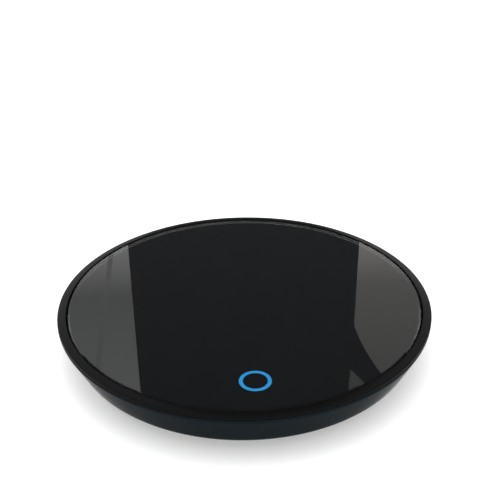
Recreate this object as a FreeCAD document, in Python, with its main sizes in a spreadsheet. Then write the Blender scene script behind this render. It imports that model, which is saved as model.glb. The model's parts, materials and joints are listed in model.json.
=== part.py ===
import FreeCAD, Part
import Sketcher
import math
import os
import re

Vector = FreeCAD.Vector
Rotation = FreeCAD.Rotation

# Electric mug warmer: a shallow round bowl with a sprung glass top that presses a switch.
# Origin on the table under the centre, +Z up, touch ring towards -Y, power inlet at +Y.

doc = FreeCAD.newDocument("MugWarmer")
sheet = doc.addObject("Spreadsheet::Sheet", "Sizes")

DRIVING_SIZES = {
    # Whole object
    "outer_radius": 65.0,
    "plate_travel": 0.8,
    "rest_gap": 0.1,
    # Bowl housing
    "wall_thickness": 2.0,
    "side_lean": 5.4,
    "knee_level": 4.7,
    "knee_undercut": 4.1,
    "underside_level": 2.0,
    "knee_rounding": 5.0,
    "side_band": 0.8,
    "seam_gap": 0.3,
    "seam_depth": 0.7,
    "flange_width": 5.3,
    "flange_thickness": 1.5,
    # Top bezel
    "bezel_width": 3.0,
    "bezel_fall": 0.4,
    "bezel_edge": 0.5,
    "bezel_leg": 0.95,
    "bezel_leg_length": 1.7,
    "bezel_rounding": 0.2,
    "seat_clearance": 0.05,
    # Glass top
    "glass_thickness": 3.0,
    "glass_gap": 0.35,
    "glass_bevel": 0.35,
    "glass_stop_gap": 0.3,
    "film_thickness": 0.15,
    "film_margin": 0.8,
    # Touch ring
    "ring_inset": 0.7,
    "ring_radius": 5.1,
    "ring_width": 1.25,
    # Heater stack
    "spreader_thickness": 1.2,
    "heater_margin": 1.0,
    "heater_thickness": 0.5,
    "pad_thickness": 2.0,
    "clamp_thickness": 0.8,
    "stack_clearance": 0.4,
    "collar_width": 3.2,
    # Plate carrier
    "carrier_inset": 3.15,
    "carrier_thickness": 2.5,
    "boss_gap": 0.5,
    "post_radius": 2.5,
    "post_clearance": 0.08,
    # Springs and retaining screws
    "boss_radius": 5.2,
    "boss_height": 2.6,
    "boss_web": 1.2,
    "retainer_radius": 3.6,
    "retainer_height": 1.5,
    "retainer_clearance": 0.4,
    "retainer_shank": 1.0,
    "retainer_grip": 6.0,
    "spring_mean_radius": 3.6,
    "spring_wire": 0.35,
    "spring_turns": 4.0,
    "spring_gap": 0.95,
    "spring_seat_gap": 0.02,
    # Base cover
    "cover_thickness": 1.8,
    "cover_clearance": 0.2,
    "cover_rounding": 0.25,
    # Feet
    "foot_inset": 0.2,
    "foot_radius": 6.0,
    "foot_recess": 0.8,
    "foot_clearance": 0.1,
    "foot_rounding": 0.6,
    # Screws of the base cover
    "base_screw_inset": 0.8,
    "base_screw_radius": 1.4,
    "base_screw_length": 5.5,
    "base_head_radius": 2.7,
    "base_head_height": 1.0,
    "base_post_radius": 2.7,
    "base_post_height": 4.2,
    "thread_clearance": 0.04,
    "head_clearance": 0.2,
    # Control board
    "board_gap": 3.3,
    "board_thickness": 1.6,
    "standoff_height": 1.2,
    "component_space": 3.75,
    "standoff_radius": 2.4,
    "standoff_inset": 4.5,
    "board_screw_radius": 0.95,
    "board_screw_length": 3.6,
    "board_head_radius": 1.8,
    "board_head_height": 1.1,
    # Switch under the plate
    "switch_offset": 11.0,
    "switch_width": 6.0,
    "switch_height": 2.4,
    "plunger_radius": 1.2,
    "plunger_clearance": 0.08,
    "plunger_seat": 0.8,
    # Touch key board
    "key_board_width": 24.0,
    "key_board_depth": 11.4,
    "key_board_thickness": 1.0,
    "key_boss_height": 0.75,
    "key_boss_radius": 2.2,
    "key_screw_spacing": 19.0,
    "key_screw_radius": 0.8,
    "key_screw_length": 3.2,
    "key_head_radius": 1.7,
    "key_head_height": 0.9,
    "led_height": 0.6,
    "led_width": 1.2,
    "led_gap": 0.1,
    "guide_clearance": 0.05,
    "guide_hole_clearance": 0.3,
    "touch_spring_radius": 2.4,
    "touch_spring_wire": 0.25,
    "touch_spring_turns": 3.0,
    # Clamp screws
    "clamp_screw_radius": 0.8,
    "clamp_screw_length": 3.0,
    "clamp_head_radius": 1.4,
    "clamp_head_height": 0.7,
    # Power inlet
    "jack_width": 8.0,
    "jack_height": 5.8,
    "jack_depth": 9.7,
    "jack_inset": 0.47,
    "jack_nose_radius": 3.0,
    "jack_nose_length": 3.4,
    "jack_socket_radius": 2.2,
    "jack_socket_depth": 9.5,
    "jack_pin_radius": 0.8,
    "jack_pin_recess": 1.0,
    "jack_clearance": 0.1,
    # Wires
    "wire_radius": 0.5,
    "wire_bend": 1.5,
    "wire_spacing": 3.0,
    "key_wire_spacing": 2.0,
    "inlet_wire_straight": 4.5,
    "wire_level": 1.1,
    "lead_inset": 12.0,
    "lead_run": 7.5,
    "lead_slot_width": 4.6,
    "lead_slot_length": 3.0,
    # Parts on the control board
    "connector_height": 2.2,
    "connector_depth": 5.0,
    "connector_width": 6.0,
    "inlet_connector_inset": 6.0,
    "key_connector_inset": 7.0,
    "chip_width": 7.0,
    "chip_height": 1.0,
    "chip_back": 12.0,
    "transistor_width": 6.5,
    "transistor_height": 2.3,
    "transistor_across": 12.0,
    "transistor_back": 20.0,
    "regulator_width": 6.5,
    "regulator_depth": 3.5,
    "regulator_height": 1.6,
    "regulator_across": 12.0,
    "regulator_back": 22.0,
    "inductor_width": 6.0,
    "inductor_height": 2.4,
    "inductor_across": 13.0,
    "inductor_back": 13.0,
    "capacitor_length": 6.0,
    "capacitor_width": 3.2,
    "capacitor_height": 2.5,
    "capacitor_side_inset": 24.0,
    "capacitor_pitch": 6.0,
    "capacitor_front_inset": 21.0,
    "resistor_length": 2.0,
    "resistor_width": 1.25,
    "resistor_height": 0.5,
    "resistor_pitch": 2.6,
    "resistor_side_inset": 20.0,
    "resistor_front_inset": 18.0,
    # Sensors in the pad
    "fuse_length": 10.0,
    "fuse_width": 4.2,
    "fuse_offset": 14.0,
    "sensor_length": 4.0,
    "sensor_width": 2.8,
    "sensor_height": 1.5,
    "pocket_clearance": 0.3,
}

# Sizes that follow from the driving ones
FOLLOWING_SIZES = {
    "total_height": "underside_level + cover_thickness + standoff_height + board_thickness"
                    " + component_space + clamp_thickness + pad_thickness + heater_thickness"
                    " + spreader_thickness + film_thickness + glass_thickness",
    "knee_radius": "outer_radius - side_lean",
    "base_edge_radius": "knee_radius - knee_undercut",
    "flange_inner_radius": "base_edge_radius - flange_width",
    "guide_circle": "flange_inner_radius - boss_radius - boss_gap",
    "collar_outer": "guide_circle - spring_mean_radius - spring_wire - spring_gap",
    "collar_inner": "collar_outer - collar_width",
    "spreader_radius": "collar_inner - stack_clearance",
    "heater_radius": "spreader_radius - heater_margin",
    "ring_centre": "collar_outer + key_board_depth / 2 + ring_inset",
    "carrier_radius": "outer_radius - bezel_width - glass_gap - carrier_inset",
    "board_radius": "guide_circle - boss_radius - board_gap",
    "standoff_circle": "board_radius - standoff_inset",
    "foot_circle": "flange_inner_radius - foot_radius - foot_inset",
    "base_screw_circle": "flange_inner_radius + base_screw_inset",
    "lead_reach": "spreader_radius - lead_inset",
    "connector_reach": "lead_reach - lead_run",
    "inlet_connector_reach": "board_radius - inlet_connector_inset",
    "key_connector_reach": "board_radius - key_connector_inset",
    "capacitor_across": "board_radius - capacitor_side_inset",
    "capacitor_front": "board_radius - capacitor_front_inset",
    "resistor_across": "board_radius - resistor_side_inset",
    "resistor_front": "board_radius - resistor_front_inset",
}

for row, (alias, size) in enumerate(DRIVING_SIZES.items(), start=1):
    sheet.set(f"A{row}", alias)
    sheet.set(f"B{row}", str(size))
    sheet.setAlias(f"B{row}", alias)
doc.recompute()

# Angles of the repeated pieces, in degrees from +X
GUIDE_ANGLES = {"right": 0, "rear_left": 120, "front_left": 240}
FOOT_ANGLES = {"rear_right": 45, "rear_left": 135, "front_left": 225, "front_right": 315}
BASE_SCREW_ANGLES = (30, 150, 210, 330)
STANDOFF_ANGLES = (45, 135, 225, 315)
CLAMP_SCREW_ANGLES = (60, 180, 300)
LED_ANGLES = (0, 90, 180, 270)

# Counts of the repeated parts on the control board
CAPACITOR_COUNT = 2
RESISTOR_COLUMNS = 2
RESISTOR_ROWS = 3

SAME_RIM = 1e-4

pieces = []


# Helpers that tie shapes to the sheet

def in_sheet(formula):
    """The formula with each driving size as a cell of the sheet and each following size written out."""
    def expand(word):
        name = word.group(0)
        if name in FOLLOWING_SIZES:
            return "(" + in_sheet(FOLLOWING_SIZES[name]) + ")"
        return "Sizes." + name
    return re.sub(r"[a-z]+(?:_[a-z]+)+", expand, formula)


def value(formula):
    return float(sheet.evalExpression(in_sheet(formula)))


def bind(thing, name, formula):
    thing.setExpression(name, in_sheet(formula))


def at(thing, x="0", y="0", z="0"):
    bind(thing, ".Placement.Base.x", x)
    bind(thing, ".Placement.Base.y", y)
    bind(thing, ".Placement.Base.z", z)


def polar(circle, angle):
    return f"({circle} * cos({angle}))", f"({circle} * sin({angle}))"


def keep(thing, label):
    thing.Label = label
    pieces.append(thing)
    return thing


# Sketched bodies

def new_body(label):
    return keep(doc.addObject("PartDesign::Body", label), label)


def new_sketch(body, name, role="XY_Plane", level="0"):
    sketch = body.newObject("Sketcher::SketchObject", name)
    plane = next(item for item in body.Origin.OriginFeatures if item.Role == role)
    sketch.AttachmentSupport = [(plane, "")]
    sketch.MapMode = "FlatFace"
    bind(sketch, "AttachmentOffset.Base.z", level)
    return sketch


def fix_size(sketch, formula, kind, *where):
    index = sketch.addConstraint(Sketcher.Constraint(kind, *where, value(formula)))
    bind(sketch, f"Constraints[{index}]", formula)


def fix_point(sketch, edge, point, x, y):
    fix_size(sketch, x, "DistanceX", -1, 1, edge, point)
    fix_size(sketch, y, "DistanceY", -1, 1, edge, point)


def add_outline(sketch, corners):
    first = sketch.GeometryCount
    count = len(corners)
    points = [Vector(value(x), value(y), 0) for x, y in corners]
    for index in range(count):
        sketch.addGeometry(Part.LineSegment(points[index], points[(index + 1) % count]))
    for index in range(count):
        following = first + (index + 1) % count
        sketch.addConstraint(Sketcher.Constraint("Coincident", first + index, 2, following, 1))
    for index, (x, y) in enumerate(corners):
        fix_point(sketch, first + index, 1, x, y)


def add_circle(sketch, radius, x="0", y="0"):
    edge = sketch.addGeometry(Part.Circle(Vector(value(x), value(y), 0), Vector(0, 0, 1), value(radius)))
    fix_size(sketch, radius, "Radius", edge)
    fix_point(sketch, edge, 3, x, y)


def add_rectangle(sketch, x, y, width, depth):
    left, right = f"({x} - {width} / 2)", f"({x} + {width} / 2)"
    front, rear = f"({y} - {depth} / 2)", f"({y} + {depth} / 2)"
    add_outline(sketch, [(left, front), (right, front), (right, rear), (left, rear)])


def revolve(body, corners):
    sketch = new_sketch(body, body.Name + "_section", "XZ_Plane")
    add_outline(sketch, corners)
    feature = body.newObject("PartDesign::Revolution", body.Name + "_turned")
    feature.Profile = sketch
    feature.ReferenceAxis = (sketch, ["V_Axis"])
    feature.Angle = 360
    doc.recompute()
    return feature


def pad(body, name, sketch, length):
    feature = body.newObject("PartDesign::Pad", name)
    feature.Profile = sketch
    bind(feature, "Length", length)
    doc.recompute()
    return feature


def pocket(body, name, sketch, depth):
    before = body.Shape.Volume
    feature = body.newObject("PartDesign::Pocket", name)
    feature.Profile = sketch
    bind(feature, "Length", depth)
    doc.recompute()
    if body.Shape.Volume >= before:
        raise RuntimeError(f"{name} cut nothing")
    return feature


def drill(body, name, top, depth, radius, centres):
    sketch = new_sketch(body, name + "_sketch", level=top)
    for x, y in centres:
        add_circle(sketch, radius, x, y)
    return pocket(body, name, sketch, depth)


def raise_bosses(body, name, bottom, height, radius, centres):
    sketch = new_sketch(body, name + "_sketch", level=bottom)
    for x, y in centres:
        add_circle(sketch, radius, x, y)
    return pad(body, name, sketch, height)


def round_rims(body, name, radius, rims):
    solid = body.Tip
    feature = body.newObject("PartDesign::Fillet", name)
    feature.Base = (solid, rim_names(solid.Shape, rims))
    bind(feature, "Radius", radius)
    doc.recompute()
    return feature


def bevel_rims(body, name, size, rims):
    solid = body.Tip
    feature = body.newObject("PartDesign::Chamfer", name)
    feature.Base = (solid, rim_names(solid.Shape, rims))
    bind(feature, "Size", size)
    doc.recompute()
    return feature


def rim_names(shape, rims):
    wanted = [(value(radius), value(level)) for radius, level in rims]
    names = []
    for index, edge in enumerate(shape.Edges, start=1):
        if not isinstance(edge.Curve, Part.Circle):
            continue
        for radius, level in wanted:
            same_radius = abs(edge.Curve.Radius - radius) < SAME_RIM
            same_level = abs(edge.Curve.Center.z - level) < SAME_RIM
            centred = math.hypot(edge.Curve.Center.x, edge.Curve.Center.y) < SAME_RIM
            if same_radius and same_level and centred:
                names.append(f"Edge{index}")
    if len(names) != len(wanted):
        raise RuntimeError(f"found {len(names)} of {len(wanted)} rims")
    return names


# Simple solids

def cylinder(name, radius, height, x="0", y="0", z="0"):
    solid = doc.addObject("Part::Cylinder", name)
    bind(solid, "Radius", radius)
    bind(solid, "Height", height)
    at(solid, x, y, z)
    return solid


def block(name, width, depth, height, x="0", y="0", z="0"):
    solid = doc.addObject("Part::Box", name)
    bind(solid, "Length", width)
    bind(solid, "Width", depth)
    bind(solid, "Height", height)
    at(solid, f"{x} - {width} / 2", f"{y} - {depth} / 2", z)
    return solid


def along_y(name, radius, length, x, start, z):
    solid = cylinder(name, radius, length, x, start, z)
    solid.Placement.Rotation = Rotation(Vector(1, 0, 0), -90)
    return solid


def fuse(name, base, tool):
    joined = doc.addObject("Part::Fuse", name)
    joined.Base = base
    joined.Tool = tool
    return joined


def cut(name, base, tool):
    result = doc.addObject("Part::Cut", name)
    result.Base = base
    result.Tool = tool
    return result


def group(label, members):
    compound = doc.addObject("Part::Compound", label)
    compound.Links = members
    return keep(compound, label)


def screw_from_below(name, shank_radius, shank_length, head_radius, head_height, x, y, seat):
    head = cylinder(name + "_head", head_radius, head_height, x, y, f"{seat} - {head_height}")
    shank = cylinder(name + "_shank", shank_radius, shank_length, x, y, seat)
    return fuse(name, head, shank)


def tangent_arc(start, corner, end):
    """The arc from start to end that is tangent to both lines through the corner."""
    middle = (start + end) * 0.5
    half_turn = (corner - start).getAngle(end - start)
    rise = (end - start).Length / 2 * math.tan(half_turn / 2)
    return Part.Arc(start, middle + (corner - middle).normalize() * rise, end).toShape()


def tube_along(edges, start, heading, radius):
    """A round tube along tangent edges, checked as its section times its length."""
    path = Part.Wire(edges)
    end = Part.Wire([Part.Circle(start, heading, radius).toShape()])
    tube = path.makePipeShell([end], True, False)
    expected = math.pi * radius ** 2 * path.Length
    if abs(tube.Volume - expected) > 0.01 * expected:
        raise RuntimeError("a tube's volume is not its section times its length")
    return tube


def helix_point(centre, radius, pitch, turn):
    angle = 2 * math.pi * turn
    around = Vector(radius * math.cos(angle), radius * math.sin(angle), pitch * turn)
    heading = Vector(-math.sin(angle), math.cos(angle), pitch / (2 * math.pi * radius))
    return centre + around, heading.normalize()


def coil(label, mean_radius, wire, turns, x, y, bottom, top):
    """A coil spring whose helix is two tangent arcs for each quarter turn."""
    radius = value(mean_radius)
    wire_radius = value(wire)
    quarters = round(4 * value(turns))
    seat_gap = value("spring_seat_gap")
    height = value(top) - value(bottom) - 2 * (wire_radius + seat_gap)
    pitch = 4 * height / quarters
    centre = Vector(value(x), value(y), value(bottom) + wire_radius + seat_gap)
    edges = []
    for quarter in range(quarters):
        start, leaving = helix_point(centre, radius, pitch, quarter / 4)
        end, arriving = helix_point(centre, radius, pitch, (quarter + 1) / 4)
        chord = end - start
        both = chord.dot(leaving + arriving)
        spread = 2 * (1 - leaving.dot(arriving))
        reach = (math.sqrt(both ** 2 + spread * chord.dot(chord)) - both) / spread
        first_corner = start + leaving * reach
        last_corner = end - arriving * reach
        joint = (first_corner + last_corner) * 0.5
        edges.append(tangent_arc(start, first_corner, joint))
        edges.append(tangent_arc(joint, last_corner, end))
    start, leaving = helix_point(centre, radius, pitch, 0)
    print(label, "gap between turns", round(pitch - 2 * wire_radius, 3))
    feature = doc.addObject("Part::Feature", label)
    feature.Shape = tube_along(edges, start, leaving, wire_radius)
    return keep(feature, label)


def wire_solid(points, radius, bend):
    """A round wire along straight runs joined by tangent arcs of one bend radius."""
    edges = []
    start = points[0]
    for before, corner, after in zip(points, points[1:], points[2:]):
        into = (corner - before).normalize()
        out = (after - corner).normalize()
        trim = bend * math.tan(into.getAngle(out) / 2)
        arc_start = corner - into * trim
        arc_end = corner + out * trim
        edges.append(Part.LineSegment(start, arc_start).toShape())
        edges.append(tangent_arc(arc_start, corner, arc_end))
        start = arc_end
    edges.append(Part.LineSegment(start, points[-1]).toShape())
    return tube_along(edges, points[0], (points[1] - points[0]).normalize(), radius)


def wires(label, routes):
    feature = doc.addObject("Part::Feature", label)
    radius = value("wire_radius")
    bend = value("wire_bend")
    tubes = []
    for route in routes:
        points = [Vector(value(x), value(y), value(z)) for x, y, z in route]
        tubes.append(wire_solid(points, radius, bend))
    feature.Shape = Part.makeCompound(tubes)
    return keep(feature, label)


# Levels and radii that follow from the driving sizes

glass_bottom = "(total_height - glass_thickness)"
film_bottom = f"({glass_bottom} - film_thickness)"
spreader_bottom = f"({film_bottom} - spreader_thickness)"
heater_bottom = f"({spreader_bottom} - heater_thickness)"
pad_bottom = f"({heater_bottom} - pad_thickness)"
clamp_bottom = f"({pad_bottom} - clamp_thickness)"
carrier_bottom = f"({film_bottom} - carrier_thickness)"

bezel_opening = "(outer_radius - bezel_width)"
glass_radius = f"({bezel_opening} - glass_gap)"
bezel_edge_top = "(total_height - bezel_fall)"
bezel_seat = f"({bezel_edge_top} - bezel_edge)"
bezel_leg_radius = f"({bezel_opening} + bezel_leg)"
band_top = f"({bezel_seat} - seam_gap)"
band_bottom = f"({band_top} - side_band)"
glass_stop = f"({glass_bottom} - plate_travel - glass_stop_gap)"

cover_top = "(underside_level + cover_thickness)"
flange_top = f"({cover_top} + flange_thickness)"
boss_top = f"({cover_top} + boss_height)"
web_bottom = f"({boss_top} - boss_web)"
post_bottom = f"({web_bottom} - rest_gap)"
post_bore = "(post_radius + post_clearance)"
retainer_bore = "(retainer_radius + retainer_clearance)"

board_bottom = f"({cover_top} + standoff_height)"
board_top = f"({board_bottom} + board_thickness)"
wire_height = f"({board_top} + wire_level)"

clamp_radius = "(collar_outer - rest_gap)"
clamp_screw_circle = "(collar_inner + collar_width / 2)"

key_board_top = f"({carrier_bottom} - key_boss_height)"
key_board_bottom = f"({key_board_top} - key_board_thickness)"
light_guide_bottom = f"({key_board_top} + led_height + led_gap)"
ring_inner = "(ring_radius - ring_width)"
ring_y = "(-ring_centre)"

jack_bottom = flange_top
jack_axis = f"({jack_bottom} + jack_height / 2)"
guide_centres = [polar("guide_circle", angle) for angle in GUIDE_ANGLES.values()]
base_screw_centres = [polar("base_screw_circle", angle) for angle in BASE_SCREW_ANGLES]
standoff_centres = [polar("standoff_circle", angle) for angle in STANDOFF_ANGLES]
clamp_screw_centres = [polar(clamp_screw_circle, angle) for angle in CLAMP_SCREW_ANGLES]
key_screw_centres = [(f"({side} * key_screw_spacing / 2)", ring_y) for side in (-1, 1)]


def inner_wall(level):
    """Radius of the bowl's sloping inner face at a level."""
    slope = f"((outer_radius - knee_radius) / ({band_bottom} - knee_level))"
    return f"(knee_radius + ({level} - knee_level) * {slope} - wall_thickness * sqrt(1 + {slope}^2))"


jack_front = f"({inner_wall(flange_top)} - jack_inset)"
jack_back = f"({jack_front} - jack_depth)"
jack_nose_end = f"({jack_front} + jack_nose_length)"
jack_socket_end = f"({jack_nose_end} - jack_socket_depth)"


# Casing

def make_bowl_housing():
    body = doc.addObject("PartDesign::Body", "bowl_body")
    cover_seat = "(base_edge_radius - wall_thickness / 2)"
    seam_inner = "(outer_radius - seam_depth)"
    rebate = f"({bezel_leg_radius} + seat_clearance)"
    rebate_bottom = f"({bezel_seat} - bezel_leg_length - seat_clearance)"
    glass_well = f"({glass_radius} + glass_gap + cover_clearance)"
    revolve(body, [
        ("base_edge_radius", "underside_level"),
        ("knee_radius", "knee_level"),
        ("outer_radius", band_bottom),
        ("outer_radius", band_top),
        (seam_inner, band_top),
        (seam_inner, bezel_seat),
        (rebate, bezel_seat),
        (rebate, rebate_bottom),
        (glass_well, rebate_bottom),
        (glass_well, glass_stop),
        (inner_wall(glass_stop), glass_stop),
        (inner_wall(flange_top), flange_top),
        ("flange_inner_radius", flange_top),
        ("flange_inner_radius", cover_top),
        (cover_seat, cover_top),
        (cover_seat, "underside_level"),
    ])
    raise_bosses(body, "screw_posts", cover_top, "base_post_height", "base_post_radius", base_screw_centres)
    pilot = "(base_screw_radius + thread_clearance)"
    post_top = f"({cover_top} + base_post_height)"
    drill(body, "pilot_holes", post_top, "base_post_height", pilot, base_screw_centres)
    round_rims(body, "knee", "knee_rounding", [("knee_radius", "knee_level")])
    hole = along_y("inlet_hole", "jack_nose_radius + jack_clearance", f"outer_radius - {jack_front}",
                   "0", jack_front, jack_axis)
    keep(cut("bowl_housing", body, hole), "bowl_housing")


def make_top_bezel():
    body = new_body("top_bezel")
    revolve(body, [
        (bezel_opening, "total_height"),
        ("outer_radius", bezel_edge_top),
        ("outer_radius", bezel_seat),
        (bezel_leg_radius, bezel_seat),
        (bezel_leg_radius, f"{bezel_seat} - bezel_leg_length"),
        (bezel_opening, f"{bezel_seat} - bezel_leg_length"),
    ])
    rims = [("outer_radius", bezel_edge_top), (bezel_opening, "total_height")]
    round_rims(body, "bezel_rims", "bezel_rounding", rims)


def make_base_cover():
    body = new_body("base_cover")
    rim = "(base_edge_radius - wall_thickness / 2 - cover_clearance)"
    sketch = new_sketch(body, "cover_disc_sketch", level="underside_level")
    add_circle(sketch, rim)
    pad(body, "cover_disc", sketch, "cover_thickness")
    raise_bosses(body, "guide_bosses", cover_top, "boss_height", "boss_radius", guide_centres)
    raise_bosses(body, "standoffs", cover_top, "standoff_height", "standoff_radius", standoff_centres)
    drill(body, "guide_bores", boss_top, "boss_height + cover_thickness", post_bore, guide_centres)
    well_depth = f"({web_bottom} - underside_level)"
    drill(body, "retainer_wells", web_bottom, well_depth, retainer_bore, guide_centres)
    hole = "(base_screw_radius + head_clearance)"
    drill(body, "screw_holes", cover_top, "cover_thickness", hole, base_screw_centres)
    well = "(base_head_radius + head_clearance)"
    well_top = "(underside_level + base_head_height + rest_gap)"
    drill(body, "head_wells", well_top, "base_head_height + rest_gap", well, base_screw_centres)
    foot_centres = [polar("foot_circle", angle) for angle in FOOT_ANGLES.values()]
    recess_top = "(underside_level + foot_recess)"
    recess = "(foot_radius + foot_clearance)"
    drill(body, "foot_recesses", recess_top, "foot_recess", recess, foot_centres)
    pilot = "(board_screw_radius + thread_clearance)"
    drill(body, "standoff_pilots", board_bottom, "standoff_height + cover_thickness / 2", pilot,
          standoff_centres)
    round_rims(body, "cover_edge", "cover_rounding", [(rim, "underside_level")])


def make_feet():
    for side, angle in FOOT_ANGLES.items():
        body = new_body(f"foot_{side}")
        sketch = new_sketch(body, f"foot_{side}_sketch")
        add_circle(sketch, "foot_radius")
        pad(body, f"foot_{side}_pad", sketch, "underside_level + foot_recess")
        round_rims(body, f"foot_{side}_edge", "foot_rounding", [("foot_radius", "0")])
        x, y = polar("foot_circle", angle)
        at(body, x, y)


def make_base_screws():
    screws = []
    seat = "(underside_level + base_head_height + rest_gap)"
    for index, (x, y) in enumerate(base_screw_centres):
        screws.append(screw_from_below(f"base_screw_{index}", "base_screw_radius", "base_screw_length",
                                       "base_head_radius", "base_head_height", x, y, seat))
    group("base_screws", screws)


# Glass top and heater stack

def make_glass_plate():
    body = new_body("glass_plate")
    sketch = new_sketch(body, "glass_disc_sketch", level=glass_bottom)
    add_circle(sketch, glass_radius)
    pad(body, "glass_disc", sketch, "glass_thickness")
    rims = [(glass_radius, "total_height"), (glass_radius, glass_bottom)]
    bevel_rims(body, "glass_bevels", "glass_bevel", rims)


def make_black_print():
    outer = cylinder("print_disc", f"{glass_radius} - film_margin", "film_thickness", z=film_bottom)
    window = cylinder("print_window", "ring_radius", "film_thickness", y=ring_y, z=film_bottom)
    around = cut("print_around", outer, window)
    centre = cylinder("print_centre", ring_inner, "film_thickness", y=ring_y, z=film_bottom)
    group("black_print", [around, centre])


def make_heater_stack():
    spreader = new_body("heat_spreader")
    sketch = new_sketch(spreader, "spreader_sketch", level=spreader_bottom)
    add_circle(sketch, "spreader_radius")
    pad(spreader, "spreader_disc", sketch, "spreader_thickness")

    heater = new_body("heater_film")
    sketch = new_sketch(heater, "heater_sketch", level=heater_bottom)
    add_circle(sketch, "heater_radius")
    pad(heater, "heater_disc", sketch, "heater_thickness")

    insulation = new_body("insulation_pad")
    sketch = new_sketch(insulation, "insulation_sketch", level=pad_bottom)
    add_circle(sketch, "spreader_radius")
    pad(insulation, "insulation_disc", sketch, "pad_thickness")
    add_pad_pockets(insulation)

    clamp = new_body("clamp_plate")
    sketch = new_sketch(clamp, "clamp_sketch", level=clamp_bottom)
    add_circle(sketch, clamp_radius)
    pad(clamp, "clamp_disc", sketch, "clamp_thickness")
    sketch = new_sketch(clamp, "clamp_slots_sketch", level=pad_bottom)
    for side in (-1, 1):
        add_rectangle(sketch, f"({side} * lead_reach)", "0", "lead_slot_length", "lead_slot_width")
    pocket(clamp, "clamp_slots", sketch, "clamp_thickness")
    hole = "(clamp_screw_radius + thread_clearance)"
    drill(clamp, "clamp_holes", pad_bottom, "clamp_thickness", hole, clamp_screw_centres)


def add_pad_pockets(insulation):
    sketch = new_sketch(insulation, "pad_pockets_sketch", level=heater_bottom)
    add_rectangle(sketch, "lead_reach", "0", "lead_slot_length", "lead_slot_width")
    slot_left = "(-lead_reach - lead_slot_length / 2)"
    slot_right = "(sensor_length / 2 + pocket_clearance)"
    centre = f"(({slot_left} + {slot_right}) / 2)"
    add_rectangle(sketch, centre, "0", f"({slot_right} - {slot_left})", "lead_slot_width")
    width = "(fuse_length + 2 * pocket_clearance)"
    depth = "(fuse_width + 2 * pocket_clearance)"
    add_rectangle(sketch, "0", "(-fuse_offset)", width, depth)
    pocket(insulation, "pad_pockets", sketch, "pad_thickness")


def make_sensors():
    fuse_block = block("thermal_fuse", "fuse_length", "fuse_width", "pad_thickness - pocket_clearance",
                       y="(-fuse_offset)", z=f"{heater_bottom} - pad_thickness + pocket_clearance")
    keep(fuse_block, "thermal_fuse")
    sensor = block("temperature_sensor", "sensor_length", "sensor_width", "sensor_height",
                   z=f"{heater_bottom} - sensor_height")
    keep(sensor, "temperature_sensor")


def make_plate_carrier():
    body = new_body("plate_carrier")
    revolve(body, [
        ("collar_inner", pad_bottom),
        ("collar_outer", pad_bottom),
        ("collar_outer", carrier_bottom),
        ("carrier_radius", carrier_bottom),
        ("carrier_radius", film_bottom),
        ("collar_inner", film_bottom),
    ])
    post_length = f"({carrier_bottom} - {post_bottom})"
    raise_bosses(body, "guide_posts", post_bottom, post_length, "post_radius", guide_centres)
    raise_bosses(body, "key_bosses", key_board_top, "key_boss_height", "key_boss_radius", key_screw_centres)
    window = "(ring_radius + guide_hole_clearance)"
    drill(body, "light_window", film_bottom, "carrier_thickness", window, [("0", ring_y)])
    pilot = "(retainer_shank + thread_clearance)"
    grip_top = f"({post_bottom} + retainer_grip)"
    drill(body, "post_pilots", grip_top, "retainer_grip", pilot, guide_centres)
    pilot = "(clamp_screw_radius + thread_clearance)"
    grip = "(clamp_screw_length - clamp_thickness)"
    drill(body, "clamp_pilots", f"{pad_bottom} + {grip}", grip, pilot, clamp_screw_centres)
    pilot = "(key_screw_radius + thread_clearance)"
    grip = "(key_screw_length - key_board_thickness)"
    drill(body, "key_pilots", f"{key_board_top} + {grip}", grip, pilot, key_screw_centres)


def make_plate_screws():
    retaining = []
    for index, (x, y) in enumerate(guide_centres):
        retaining.append(screw_from_below(f"retaining_screw_{index}", "retainer_shank", "retainer_grip",
                                          "retainer_radius", "retainer_height", x, y, post_bottom))
    group("retaining_screws", retaining)

    clamping = []
    for index, (x, y) in enumerate(clamp_screw_centres):
        clamping.append(screw_from_below(f"clamp_screw_{index}", "clamp_screw_radius", "clamp_screw_length",
                                         "clamp_head_radius", "clamp_head_height", x, y, clamp_bottom))
    group("clamp_screws", clamping)

    fixing = []
    for index, (x, y) in enumerate(key_screw_centres):
        fixing.append(screw_from_below(f"key_screw_{index}", "key_screw_radius", "key_screw_length",
                                       "key_head_radius", "key_head_height", x, y, key_board_bottom))
    group("key_board_screws", fixing)


def make_springs():
    for side, angle in GUIDE_ANGLES.items():
        x, y = polar("guide_circle", angle)
        coil(f"plate_spring_{side}", "spring_mean_radius", "spring_wire", "spring_turns",
             x, y, boss_top, carrier_bottom)
    coil("touch_spring", "touch_spring_radius", "touch_spring_wire", "touch_spring_turns",
         "0", ring_y, key_board_top, film_bottom)


# Touch key under the glass

def make_touch_key():
    height = f"({glass_bottom} - {light_guide_bottom})"
    outer = cylinder("light_guide_outer", "ring_radius - guide_clearance", height,
                     y=ring_y, z=light_guide_bottom)
    inner = cylinder("light_guide_inner", f"{ring_inner} + guide_clearance", height,
                     y=ring_y, z=light_guide_bottom)
    keep(cut("light_guide", outer, inner), "light_guide")

    body = new_body("key_board")
    sketch = new_sketch(body, "key_board_sketch", level=key_board_bottom)
    add_rectangle(sketch, "0", ring_y, "key_board_width", "key_board_depth")
    pad(body, "key_board_plate", sketch, "key_board_thickness")
    hole = "(key_screw_radius + thread_clearance)"
    drill(body, "key_board_holes", key_board_top, "key_board_thickness", hole, key_screw_centres)

    leds = []
    led_circle = "(ring_radius - ring_width / 2)"
    for angle in LED_ANGLES:
        x, y = polar(led_circle, angle)
        leds.append(block(f"led_{angle}", "led_width", "led_width", "led_height",
                          x, f"({ring_y} + {y})", key_board_top))
    group("blue_leds", leds)


# Control board and what stands on it

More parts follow.
